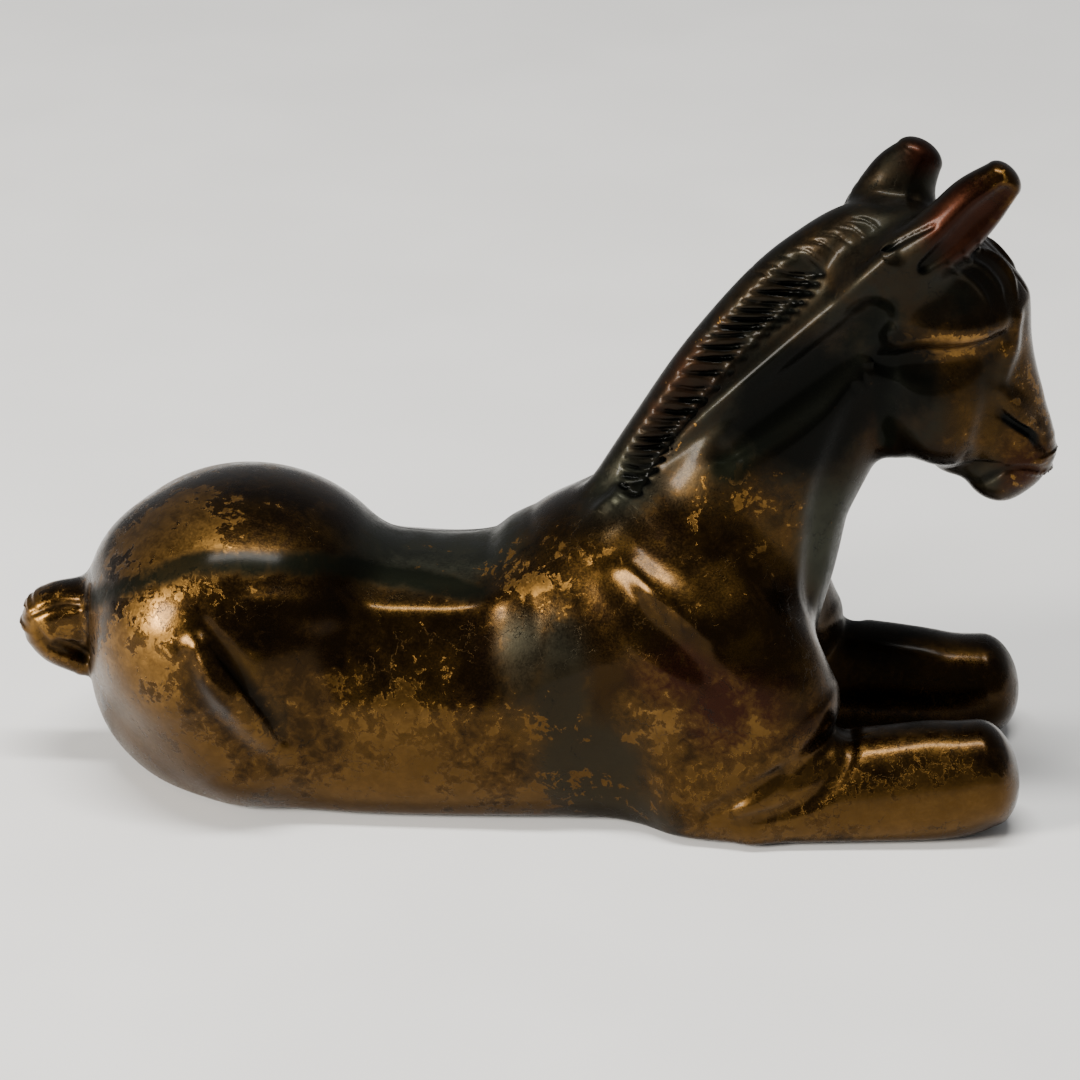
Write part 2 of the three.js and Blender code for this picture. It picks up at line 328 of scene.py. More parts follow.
def neck(field):
    """The neck, and the throat below the jaw."""
    field.add(Spine([
        (17, 0, 28, 11, 12.5), (24, 0, 35.5, 12.5, 15.5), (29.5, 0, 47, 10.5, 13.6),
        (34.5, 0, 57, 8.8, 12.4), (40.2, 0, 65.7, 8.0, 11.2), (47, 0, 73, 8.4, 9.8),
    ], end=(7, 7)), 7)
    field.add(Spine([(50, 0, 57.4, 5, 5), (44.0, 0, 53.4, 4.2, 4.0), (37.0, 0, 45.0, 5.0, 5.0)], end=4), 3)


def head(field):
    """Skull, muzzle, cheeks, lower lip, chin and throat."""
    field.add(Ball((52.0, 0, 71.3), (11.4, 8.8, 9.6), pitch=25), 4)
    field.add(Spine([
        (55.2, 0, 67.4, 7.4, 9.8), (58.2, 0, 60.4, 6.2, 7.7), (60.8, 0, 54.4, 5.4, 6.7),
        (62.9, 0, 49.8, 5.2, 5.9), (62.6, 0, 48.0, 5.0, 5.2),
    ], end=(6, 4.4)), 3)
    field.add(Ball((53.2, 3.6, 57.4), (7.6, 5.2, 9.2), pitch=-15), 3.2, True)
    field.add(Ball((60.4, 0, 45.4), (3.7, 3.6, 2.7), pitch=35), 3.2)
    field.add(Ball((55.6, 0, 48.6), (3.6, 3.4, 2.8)), 2.0)
    field.add(Ball((47.8, 0, 51.2), (3.6, 4.0, 3.0)), 3.0)


def tail(field):
    field.add(Spine([
        (-54, 0, 26.6, 6.0, 5.6), (-61.0, 0, 22.8, 4.7, 4.1), (-66.5, 0, 20.5, 4.7, 4.5),
        (-66.4, 0, 17.3, 4.4, 3.4), (-62.8, 0, 14.2, 3.2, 2.2),
    ], end=(3, 2)), 1.4)
    field.add(Ball((-64.2, 0, 18.8), (4.4, 3.6, 4.6)), 1.5)


def ears(field):
    """The right ear, tipped forward, the left ear, held up, and the poll between them."""
    field.add(Spine([
        (43.5, -5.2, 75.2, 3.4, 3.8), (48.0, -6.6, 77.8, 3.6, 4.2), (52.8, -7.2, 81.9, 3.7, 4.2),
        (56.8, -7.2, 86.4, 3.4, 3.9), (60.1, -7.0, 89.7, 2.8, 2.8),
    ], end=(4, 1.8)), 2.6)
    field.add(Spine([
        (43.6, 4.8, 75, 3.8, 5.0), (45.8, 5.8, 80.0, 3.8, 6.0), (47.4, 6.6, 84.4, 3.6, 4.8),
        (49.4, 7.0, 87.6, 3.0, 3.4),
    ], end=(3, 2.2)), 2.6)
    field.add(Ball((52.4, -0.6, 78.0), (4.6, 6.0, 4.4)), 2.0)


def mane(field):
    field.add(Spine([
        (7.3, 0, 37.6, 3.0, 3.2), (15.8, 0, 50.3, 4.0, 4.0), (22.2, 0, 60.5, 4.2, 4.0),
        (29.9, 0, 70.3, 4.2, 4.0), (35.6, 0, 75.8, 4.4, 3.8), (41.5, 0, 79.6, 4.6, 3.6),
        (48, 0, 80.4, 4.8, 3.0),
    ], end=(3, 3)), 1.6)


def table_cut(field):
    """The flat face that the foal lies on, with its edge rounded over."""
    z = field.axes[2][None, None, :]
    field.d[...] = -smooth_least(-field.d, z + np.zeros_like(field.d), 1.2)


def bare_form(low, high, step):
    field = Field(low, high, step)
    for part in (trunk, legs, neck, head, mane, ears, tail):
        part(field)
    return field


# ---------------------------------------------------------------- detail, laid on the bare form
# Lines are given as they are seen from one side, slightly from above: rows of x, z, half depth and half
# width, where x and z are where the line of sight crosses the middle plane. Each point starts outside
# the foal and is moved along that line of sight until it lies on the skin.
SIGHT = np.array([0.0699, -1.0, 0.4463])
OUTSIDE = 34.0       # how far out along the line of sight a point starts
ON_SKIN = 0.02       # near enough to the skin


def laid(form, rows, side, sunk):
    """Stations x, y, z, half width, half height for a line on the skin, its centre sunk mm below it."""
    sight = SIGHT * (1, -side, 1) if side > 0 else SIGHT
    rows = catmull_rom(rows, 4 * len(rows))
    start = np.stack([rows[:, 0], np.zeros(len(rows)), rows[:, 1]], 1)
    reach = np.full(len(rows), OUTSIDE)
    for _ in range(60):
        gap = form.sample(start + reach[:, None] * sight)
        reach = np.where(gap > ON_SKIN, reach - 0.75 * gap, reach)
    skin = start + reach[:, None] * sight
    centre = skin - form.slope(skin) * sunk
    return np.concatenate([centre, rows[:, 2:4]], 1)


class Details:
    """Carved and raised lines, worked out once and cut into every piece's field."""

    def __init__(self, form):
        self.form, self.steps = form, []

    def groove(self, rows, side, soft, sunk=0.0, end=0.4):
        self.steps.append(("carve", Spine(laid(self.form, rows, side, sunk), end=end), soft))

    def ridge(self, rows, side, soft, sunk):
        self.steps.append(("add", Spine(laid(self.form, rows, side, sunk), end=0.6), soft))

    def carve(self, shape, soft):
        self.steps.append(("carve", shape, soft))

    def cut_into(self, field):
        for action, shape, soft in self.steps:
            getattr(field, action)(shape, soft)


MANE_CUTS = 22
POLL_LINES = 8       # short hair lines where the mane runs out on the poll
LOCKS = 3            # raised locks on each side of the forelock
FORELOCK_LINES = 4


def mane_detail(d):
    """Thin cuts down both sides of the mane, in a shallow trough between the crest and the ridge."""
    inner = catmull_rom([
        (10.6, 42.6), (12.5, 48.2), (16.3, 54.5), (21.2, 62.8), (26.3, 68.5), (31.8, 74.7),
    ], MANE_CUTS + 1)
    outer = catmull_rom([
        (13.3, 41.0), (18.0, 48.6), (22.0, 54.2), (28.6, 63.2), (34.2, 68.3), (37.4, 74.2),
    ], MANE_CUTS + 1)
    middle = (inner + outer) / 2
    for side in (-1, 1):
        trough = [(*middle[k], 0.6, 1.5) for k in (0, 5, 11, 17, 22)]
        d.groove(trough, side, 1.6, -0.1)
        for k in range(MANE_CUTS):
            a, b = inner[k], outer[k]
            sway = 0.30 * math.sin(2.4 * k + side)
            bend = middle[k] + np.array([0.25 + sway * 0.3, -0.45 + sway * 0.5])
            deep = 1.55 + 0.3 * math.sin(1.7 * k)
            rows = [(*a, 0.3, 0.14), (*bend, deep, 0.32 + 0.07 * math.sin(3.1 * k)), (*b, 0.5, 0.18)]
            d.groove(rows, side, 0.35)
        for k in range(POLL_LINES):
            start = np.array([27.6 + 1.9 * k, 73.4 + 1.1 * k])
            bend, tip = start + (1.6, -0.3), start + (3.2, -1.6)
            rows = [(*start, 0.1, 0.10), (*bend, 0.26, 0.18), (*tip, 0.1, 0.10)]
            d.groove(rows, side, 0.25)


def neck_detail(d):
    """The hollow of the neck, the ridge between it and the mane, throat creases and a windpipe groove."""
    for side in (-1, 1):
        d.groove([
            (25.4, 48.0, 0.4, 0.8), (29.6, 52.0, 1.4, 2.4), (34.6, 56.6, 2.0, 3.2), (40.2, 62.0, 2.0, 3.0),
            (43.6, 67.0, 1.2, 1.6),
        ], side, 2.6, 0.0, 1.5)
        d.ridge([
            (8.4, 39.2, 0.3, 0.3), (13.2, 43.8, 0.6, 0.5), (19.5, 50.6, 0.9, 0.7), (25.8, 56.6, 1.1, 0.9),
            (32.1, 62.5, 1.2, 1.0), (38.3, 68.4, 1.4, 1.1), (44.8, 75.0, 1.5, 1.2),
        ], side, 2.0, 0.3)
        d.groove([(38.0, 63.2, 0.3, 0.2), (39.6, 59.8, 0.5, 0.35), (41.4, 56.6, 0.2, 0.15)], side, 0.5)
        d.groove([(40.4, 63.6, 0.3, 0.2), (41.8, 60.2, 0.4, 0.3), (43.0, 57.6, 0.2, 0.15)], side, 0.5)
        windpipe = [(40.6, 52.0, 0.5, 0.5), (37.6, 41.0, 1.2, 1.2), (36.4, 29.0, 0.9, 1.0)]
        d.groove(windpipe, side, 3.0, -0.8, 2.0)


def ear_detail(d):
    """The open hollow of each ear and the crease behind the right one."""
    d.carve(Spine([
        (50.8, -10.2, 79.0, 0.6, 0.7), (54.4, -10.9, 82.4, 1.2, 1.5), (57.6, -10.7, 85.6, 1.4, 1.8),
        (60.2, -9.9, 88.2, 0.9, 1.2),
    ], end=1.2), 1.3)
    d.carve(Spine([
        (49.4, 2.2, 84.4, 0.5, 0.6), (50.6, 2.8, 86.8, 0.8, 0.9), (51.4, 3.6, 88.8, 0.5, 0.6),
    ], end=1.0), 1.2)
    d.groove([(43.0, 74.8, 0.1, 0.1), (46.4, 77.4, 0.3, 0.3), (50.0, 79.4, 0.1, 0.1)], -1, 0.8)


def head_detail(d):
    """Eye socket and brow, the lines of the face, nostril, mouth, jaw and forelock."""
    for side in (-1, 1):
        d.groove([
            (46.8, 60.8, 0.3, 0.5), (49.6, 60.8, 1.2, 1.8), (53.0, 61.2, 1.1, 1.8), (56.4, 62.4, 0.6, 1.2),
            (59.0, 63.6, 0.2, 0.4),
        ], side, 2.8, -0.1, 1.5)
        d.ridge([
            (47.4, 64.2, 0.3, 0.3), (50.2, 65.2, 1.2, 1.2), (53.6, 65.6, 1.6, 1.4), (56.8, 66.0, 1.1, 1.1),
            (59.6, 67.0, 0.4, 0.4),
        ], side, 3.2, 0.6)
        d.ridge([(62.4, 67.4, 0.4, 0.4), (61.8, 63.4, 0.8, 0.7), (60.8, 60.0, 0.4, 0.4)], side, 1.8, 0.2)
        d.ridge([(60.8, 56.6, 0.3, 0.3), (62.6, 54.6, 0.8, 0.8), (64.6, 51.6, 0.4, 0.4)], side, 2.2, 0.4)
        d.groove([(62.0, 53.2, 0.05, 0.1), (64.2, 51.8, 0.12, 0.25), (66.0, 50.2, 0.05, 0.1)], side, 1.2)
        d.groove([
            (58.4, 44.0, 0.1, 0.2), (59.8, 44.9, 0.25, 0.35), (61.6, 46.0, 0.15, 0.2),
            (64.6, 46.5, 0.08, 0.12), (66.8, 46.2, 0.05, 0.1),
        ], side, 0.9)
        jaw = [(59.0, 58.0, 0.4, 0.4), (59.0, 53.2, 1.0, 1.1), (57.6, 48.4, 0.5, 0.5)]
        d.groove(jaw, side, 2.4, -0.8, 1.5)
        for k in range(LOCKS):
            x, z, size = 56.6 - 1.9 * k, 77.6 - 1.7 * k, 0.62 - 0.12 * k
            d.ridge([
                (x, z, 0.2, 0.2), (x + 3.0, z - 1.4, size, size), (x + 5.0, z - 3.7, size, 0.8 * size),
                (x + 5.6, z - 6.2, 0.15, 0.15),
            ], side, 0.5, 0.1)
    for k in range(FORELOCK_LINES):
        y = -2.7 + 1.8 * k
        d.carve(Spine([
            (53.5, y * 0.8, 81.4, 0.2, 0.3), (58.0, y, 79.6, 0.3, 0.6), (61.6, y * 1.2, 76.2, 0.3, 0.6),
            (63.8, y * 1.3, 72.6, 0.15, 0.2),
        ], end=0.4), 0.4)


def tail_detail(d):
    """Cuts between the tail's locks."""
    for side in (-1, 1):
        d.groove([(-62.4, 22.4, 0.1, 0.1), (-66.0, 22.4, 0.35, 0.3), (-69.4, 20.8, 0.1, 0.1)], side, 0.9)
        d.groove([(-68.4, 17.8, 0.1, 0.2), (-66.8, 15.8, 0.4, 0.4), (-64.0, 14.6, 0.2, 0.2)], side, 0.9)
        d.groove([(-66.0, 16.6, 0.2, 0.3), (-64.0, 15.8, 0.6, 0.6), (-61.8, 14.4, 0.9, 0.8)], side, 0.9)


def body_detail(d):
    """Stifle, flank line, shoulder, the broad hollow behind it, and the elbow's creases."""
    for side in (-1, 1):
        d.groove([
            (-44.0, 19.4, 0.3, 0.3), (-42.2, 16.2, 0.5, 0.8), (-39.8, 11.8, 0.6, 0.9),
            (-37.4, 7.6, 0.5, 0.8), (-35.4, 4.4, 0.3, 0.3),
        ], side, 2.4, -0.1, 1.0)
        d.ridge([
            (-45.0, 16.6, 0.4, 0.4), (-43.0, 12.6, 2.0, 1.5), (-40.2, 8.6, 2.1, 1.6), (-37.4, 5.0, 1.5, 1.2),
            (-35.2, 2.4, 0.4, 0.4),
        ], side, 3.0, 0.5)
        d.ridge([
            (-37.0, 23.0, 0.2, 0.3), (-28.0, 22.9, 0.9, 1.0), (-18.0, 23.0, 1.0, 1.0),
            (-9.0, 23.6, 0.9, 1.0), (-2.0, 27.0, 0.2, 0.3),
        ], side, 3.4, 1.5)
        d.ridge([(12.4, 30.2, 0.4, 0.4), (16.3, 26.4, 1.5, 1.2), (21.4, 21.8, 0.4, 0.4)], side, 3.2, 1.3)
        shoulder = [(12.4, 25.0, 0.5, 0.5), (16.4, 20.4, 2.2, 1.5), (22.0, 15.0, 0.5, 0.5)]
        d.groove(shoulder, side, 3.6, -2.0, 2.0)
        d.groove([
            (5.6, 15.0, 1.0, 1.0), (6.6, 11.0, 2.2, 3.2), (8.4, 6.0, 3.0, 4.2), (10.6, -1.0, 2.8, 4.0),
            (11.8, -6.5, 1.6, 2.2),
        ], side, 6.0, -3.4, 3.0)
        d.groove([
            (41.6, 7.8, 0.2, 0.3), (40.6, 2.8, 0.45, 0.6), (37.2, -1.6, 0.4, 0.6), (32.6, -4.4, 0.25, 0.4),
            (27.0, -6.2, 0.1, 0.2),
        ], side, 1.8)
        d.groove([(31.4, 0.8, 0.2, 0.2), (27.6, -1.9, 0.3, 0.5), (22.4, -5.2, 0.1, 0.2)], side, 1.8)


def detail_list():
    """All details, laid on a rough copy of the whole form."""
    d = Details(bare_form(low=(-76, -29, -10), high=(74, 29, 97), step=0.8))
    for part in (body_detail, neck_detail, mane_detail, head_detail, ear_detail, tail_detail):
        part(d)
    return d


DETAILS = detail_list()


def core_hollow(field):
    """The hollow that the core left under the trunk."""
    field.carve(Spine([
        (-43, 0, 0, 4.5, 24), (-30, 0, 0, 8, 28), (-10, 0, 0, 9.5, 26), (8, 0, 0, 9.5, 26),
        (20, 0, 0, 7, 22),
    ], end=2.0), 1.5)


def foal(low, high, step):
    field = bare_form(low, high, step)
    DETAILS.cut_into(field)
    core_hollow(field)
    table_cut(field)
    return field


# ---------------------------------------------------------------- pieces
# Joint planes: a point and the normal towards the outer section, as in the castings.
NECK_JOINT = ((25, 0, 36), (0.5, 0, 0.866))
HEAD_JOINT = ((43.5, 0, 66), (0.987, 0, 0.16))
RIGHT_EAR_JOINT = ((55.9, -7.2, 85.6), (0.76, 0, 0.65))
LEFT_EAR_JOINT = ((47.4, 7, 84.3), (0.25, 0, 0.97))
FORELEG_JOINT = ((43.5, 0, 6), (1, 0, 0))
RIGHT_HIND_JOINT = ((-43, -16.5, 19), (-0.447, -0.894, 0))
LEFT_HIND_JOINT = ((-43, 16.5, 19), (-0.447, 0.894, 0))
TAIL_JOINT = ((-62.6, 0, 22.4), (-1, 0, 0))


def flipped(joint):
    return joint[0], tuple(-k for k in joint[1])


ON_PLANE = 1e-3      # near enough to a joint plane, in mm

# For each casting: the two corners of the box it lies in, the sample step, the planes that bound it
# (the far side of each is cut away), the ears to take off, and a point near its skin.
CASTINGS = {
    "trunk_casting": (
        (-65, -27, -1), (45, 27, 50), 0.45,
        [TAIL_JOINT, FORELEG_JOINT, RIGHT_HIND_JOINT, LEFT_HIND_JOINT, NECK_JOINT], [], (-10, 0, 33),
    ),
    "neck_casting": (
        (1, -21, 22), (50, 21, 90), 0.32,
        [flipped(NECK_JOINT), HEAD_JOINT], [], (30, -9, 50),
    ),
    "head_casting": (
        (36, -14, 38), (73, 14, 95), 0.28,
        [flipped(HEAD_JOINT)], [(RIGHT_EAR_JOINT, (62, -7, 90)), (LEFT_EAR_JOINT, (49, 7, 91))], (66, 0, 58),
    ),
    "right_ear": ((50, -14, 78), (67, -1.5, 95), 0.25, [flipped(RIGHT_EAR_JOINT)], [], (62, -7, 90)),
    "left_ear": ((37, 0.5, 76), (58, 14, 95), 0.25, [flipped(LEFT_EAR_JOINT)], [], (49, 7, 91)),
    "right_foreleg": ((41, -27, -1), (70, -2, 20), 0.4, [flipped(FORELEG_JOINT)], [], (55, -14, 14)),
    "left_foreleg": ((41, 2, -1), (70, 27, 20), 0.4, [flipped(FORELEG_JOINT)], [], (55, 14, 14)),
    "right_hind_leg": ((-65, -27, -1), (-24, 0, 48), 0.4, [flipped(RIGHT_HIND_JOINT)], [], (-44, -24, 20)),
    "left_hind_leg": ((-65, 0, -1), (-24, 27, 48), 0.4, [flipped(LEFT_HIND_JOINT)], [], (-44, 24, 20)),
    "tail": ((-75, -9, 6), (-60, 9, 33), 0.3, [flipped(TAIL_JOINT)], [], (-70, 0, 20)),
}


def split_faces(bm, joint):
    """Cuts every face along the joint's plane."""
    point, normal = Vector(joint[0]), Vector(joint[1]).normalized()
    geometry = bm.verts[:] + bm.edges[:] + bm.faces[:]
    bmesh.ops.bisect_plane(bm, geom=geometry, dist=1e-4, plane_co=point, plane_no=normal)
    return point, normal


def on_plane(vert, point, normal):
    return abs((vert.co - point).dot(normal)) < ON_PLANE


def connected(bm, seed, barrier=None):
    """The faces joined to the one nearest seed, not crossing the barrier plane."""
    seed = Vector(seed)
    start = min(bm.faces, key=lambda f: (f.calc_center_median() - seed).length_squared)
    found, queue = {start}, [start]
    while queue:
        for edge in queue.pop().edges:
            if barrier and all(on_plane(v, *barrier) for v in edge.verts):
                continue
            for face in edge.link_faces:
                if face not in found:
                    found.add(face)
                    queue.append(face)
    return found


def close(bm, point, normal, cap):
    """Fills the open loops that lie in a plane."""
    rim = [e for e in bm.edges if e.is_boundary and all(on_plane(v, point, normal) for v in e.verts)]
    if rim:
        made = bmesh.ops.triangle_fill(bm, edges=rim, use_beauty=True, normal=normal)
        for face in made["geom"]:
            if isinstance(face, bmesh.types.BMFace):
                face[cap] = 1


def remove_faces(bm, faces):
    bmesh.ops.delete(bm, geom=list(faces), context="FACES")


def cut_at_joints(bm, cap, joints, ears):
    """Cuts away all that lies beyond the joints, and the ears, and closes the cuts."""
    for joint in joints:
        point, normal = split_faces(bm, joint)
        beyond = [f for f in bm.faces if (f.calc_center_median() - point).dot(normal) > 0]
        remove_faces(bm, beyond)
        close(bm, point, normal, cap)
    for joint, tip in ears:
        plane = split_faces(bm, joint)
        remove_faces(bm, connected(bm, tip, plane))
        close(bm, *plane, cap)


def casting(name, low, high, step, joints, ears, seed):
    """One casting as a closed mesh, cut from the whole form."""
    field = foal(low, high, step)
    points, faces = surface(field)
    points = settle(field, points)
    mesh = bpy.data.meshes.new(name)
    mesh.from_pydata(points.tolist(), [], faces.tolist())
    bm = bmesh.new()
    bm.from_mesh(mesh)
    cap = bm.faces.layers.int.new("cap")
    cut_at_joints(bm, cap, joints, ears)
    kept = connected(bm, seed)
    remove_faces(bm, [f for f in bm.faces if f not in kept])
    bmesh.ops.recalc_face_normals(bm, faces=bm.faces)
    flat = np.array([f[cap] for f in bm.faces], bool)
    bm.to_mesh(mesh)
    open_edges = sum(e.is_boundary for e in bm.edges)
    bm.free()
    mesh.attributes.remove(mesh.attributes["cap"])
    finish_mesh(mesh, field, flat)
    print(name, len(mesh.vertices), "points,", open_edges, "open edges")
    piece = bpy.data.objects.new(name + "_skin", mesh)
    bpy.context.scene.collection.objects.link(piece)
    return piece


def finish_mesh(mesh, field, flat):
    """The shape's own shading values, millimetres to metres, then normals."""
    points = np.empty(len(mesh.vertices) * 3)
    mesh.vertices.foreach_get("co", points)
    points = points.reshape(-1, 3)
    normals = field.slope(points)
    for attribute, value in shape_values(field, points, normals).items():
        layer = mesh.attributes.new(attribute, "FLOAT", "POINT")
        layer.data.foreach_set("value", value.astype(np.float32))
    mesh.vertices.foreach_set("co", (points * MM).ravel())
    mesh.update()
    mesh.polygons.foreach_set("use_smooth", ~flat)
    set_normals(mesh, normals, flat)


def set_normals(mesh, normals, flat):
    """The field's own normals on the skin, and the faces' normals on the joint planes."""
    corner_vertex = np.empty(len(mesh.loops), np.int32)
    mesh.loops.foreach_get("vertex_index", corner_vertex)
    sizes = np.empty(len(mesh.polygons), np.int32)
    mesh.polygons.foreach_get("loop_total", sizes)
    face_normals = np.empty(len(mesh.polygons) * 3)
    mesh.polygons.foreach_get("normal", face_normals)
    face_of_corner = np.repeat(np.arange(len(sizes)), sizes)
    corner = normals[corner_vertex]
    capped = flat[face_of_corner]
    corner[capped] = face_normals.reshape(-1, 3)[face_of_corner[capped]]
    mesh.normals_split_custom_set(corner.tolist())


# Where the skin is worn to gold, dulled to grey, or reddened: centre, reach along each axis, strength.
# Both sides are alike, so y is the distance from the middle plane. All are in mm.
WORN = [
    ((-55, 13, 16), (11, 14, 15), 0.85), ((-46, 18, 4), (17, 10, 9), 0.85), ((-20, 20, 2), (29, 9, 9), 0.88),
    ((33, 18, 6), (15, 9, 9), 0.85), ((55, 21, 4.5), (15, 6, 6), 1.15), ((17, 22, 16), (7, 6, 5), 0.60),
    ((-33, 20, 12), (8, 7, 7), 0.60),
    ((-1, 12, 33), (9, 7, 4), 0.50), ((54, 9, 67), (6, 4, 2.5), 1.20), ((66, 0, 54), (4, 6, 8), 0.45),
    ((-43, 22, 10), (4, 5, 5), 1.00), ((30, 11, 44), (11, 7, 9), 0.42), ((-69, 0, 21), (5, 6, 6), 0.95),
    ((-49, 10, 36), (12, 10, 8), 0.85), ((60, 7, 90), (3, 4, 4), 0.40), ((-30, 21, 18), (14, 6, 6), 0.45),
    ((-14, 20, 15), (16, 6, 8), 0.50), ((8, 22, 4), (10, 8, 6), 0.45),
]
DULLED = [
    ((-1, 18, 24), (4, 7, 7), 0.75), ((4, 20, 21), (4, 8, 9), 0.90), ((8, 20, 9), (7, 8, 8), 1.05),
    ((11, 19, 1), (9, 8, 7), 0.95),
    ((-12, 0, 34), (15, 11, 4), 0.95), ((39, 5, 42), (5, 6, 15), 0.90), ((35, 9, 62), (9, 6, 14), 1.10),
    ((60, 8, 62), (5, 4, 5), 0.60), ((46, 7, 82), (11, 9, 9), 1.20), ((-34, 22, 17), (3, 4, 6), 0.45),
    ((24, 3, 64), (17, 8, 20), 1.20), ((55, 8, 75), (8, 6, 5), 1.00), ((49, 9, 57), (5, 4, 8), 0.90),
    ((60, 4, 47), (5, 5, 3), 0.70), ((12, 4, 46), (7, 6, 9), 0.90),
]
REDDENED = [
    ((20, 20, 24), (6, 6, 5), 0.70), ((27, 20, 20), (7, 6, 6), 0.90), ((34, 16, 17), (6, 6, 5), 0.70),
    ((57, 10.5, 85), (5.5, 2.6, 5), 1.40), ((18, 3, 58), (12, 4, 18), 0.36), ((65, 4, 48), (4, 5, 5), 0.60),
    ((50, 5, 89), (3, 4, 3), 0.70),
]
# Nearly black patches of painted shade and dark reflection: on the forelegs, in the neck's hollows, round
# the jaw and at the throat. The far foreleg is darker than the near one, so here y has its sign.
PAINTED_SHADE_PATCHES = [
    ((46, 16, 12), (10, 8, 14), 1.00), ((58, 16, 8), (8, 8, 5), 0.80), ((36, -9, 58), (10, 5, 8), 1.60),
    ((36, 9, 58), (10, 5, 8), 1.60), ((62, 16, 12), (7, 8, 5), 0.60), ((47, -9, 64), (6, 5, 8), 1.10),
    ((47, 9, 64), (6, 5, 8), 1.10), ((48, 0, 50), (7, 9, 4), 0.60), ((50, -12, 15), (10, 6, 3), 0.70),
]
# Dark lines, seen from the side as x and z, and how wide each is: the green band along the upper flank,
# and painted shade in the hollow under the neck's ridge and along the line between neck and jaw.
DARK_LINES = [
    ([(-60.5, 23.4), (-47.0, 28.6), (-29.0, 29.6), (-16.0, 27.6), (-8.0, 25.8)], 2.8),
    ([(25.0, 45.4), (31.0, 51.6), (36.0, 56.8), (41.0, 62.0), (45.2, 67.4)], 3.8),
    ([(46.0, 50.0), (45.6, 56.0), (46.0, 62.0)], 2.4),
]


def blobs(points, rows, mirrored=True):
    """The strongest of the rows' soft spots at each point."""
    q = np.abs(points * (0, 1, 0)) + points * (1, 0, 1) if mirrored else points
    total = np.zeros(len(points))
    for centre, reach, strength in rows:
        far = (((q - centre) / reach) ** 2).sum(1)
        total = np.maximum(total, strength * np.exp(-far * 0.7))
    return total


def along_lines(points):
    """1 on the dark lines, falling away over each one's width."""
    total = np.zeros(len(points))
    for rows, reach in DARK_LINES:
        for side in (-1, 1):
            seen = [(x, z, 1, 1) for x, z in rows]
            line = catmull_rom(laid(DETAILS.form, seen, side, 0.0)[:, :3], 60)
            near = np.full(len(points), 1e9)
            for a in line:
                near = np.minimum(near, ((points - a) ** 2).sum(1))
            total = np.maximum(total, np.exp(-near / reach**2))
    return total


def shape_values(field, points, normals):
    """recess: deep in a groove. The others are the regions above. All are 0 to about 1."""
    def outward(reach):
        return np.clip(1 - field.sample(points + normals * reach) / reach, 0, 1)

    edge = np.clip(1 + field.sample(points - normals * 1.6) / 1.6, 0, 1)
    hollow = outward(2.4)
    return {
        # how deep in a groove: used for the dark patina there and for painted shade
        "recess": np.maximum(outward(0.8), 0.7 * outward(1.6)),
        "wear": blobs(points, WORN) + 0.30 * edge - 0.6 * hollow,
        "grey": blobs(points, DULLED),
        "red": blobs(points, REDDENED),
        # the flank's green band, and painted shade in the neck's hollow and along the neck-jaw line
        "band": along_lines(points),
        # painted shade and dark reflection, in nearly black patches
        "black": blobs(points, PAINTED_SHADE_PATCHES, False),
    }


def build_castings():
    pieces = []
    coarser = 1.0
    for name, (low, high, step, joints, ears, seed) in CASTINGS.items():
        piece = casting(name, low, high, step * coarser, joints, ears, seed)
        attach(piece, "root")
        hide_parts(name)
        pieces.append(piece)
    return pieces


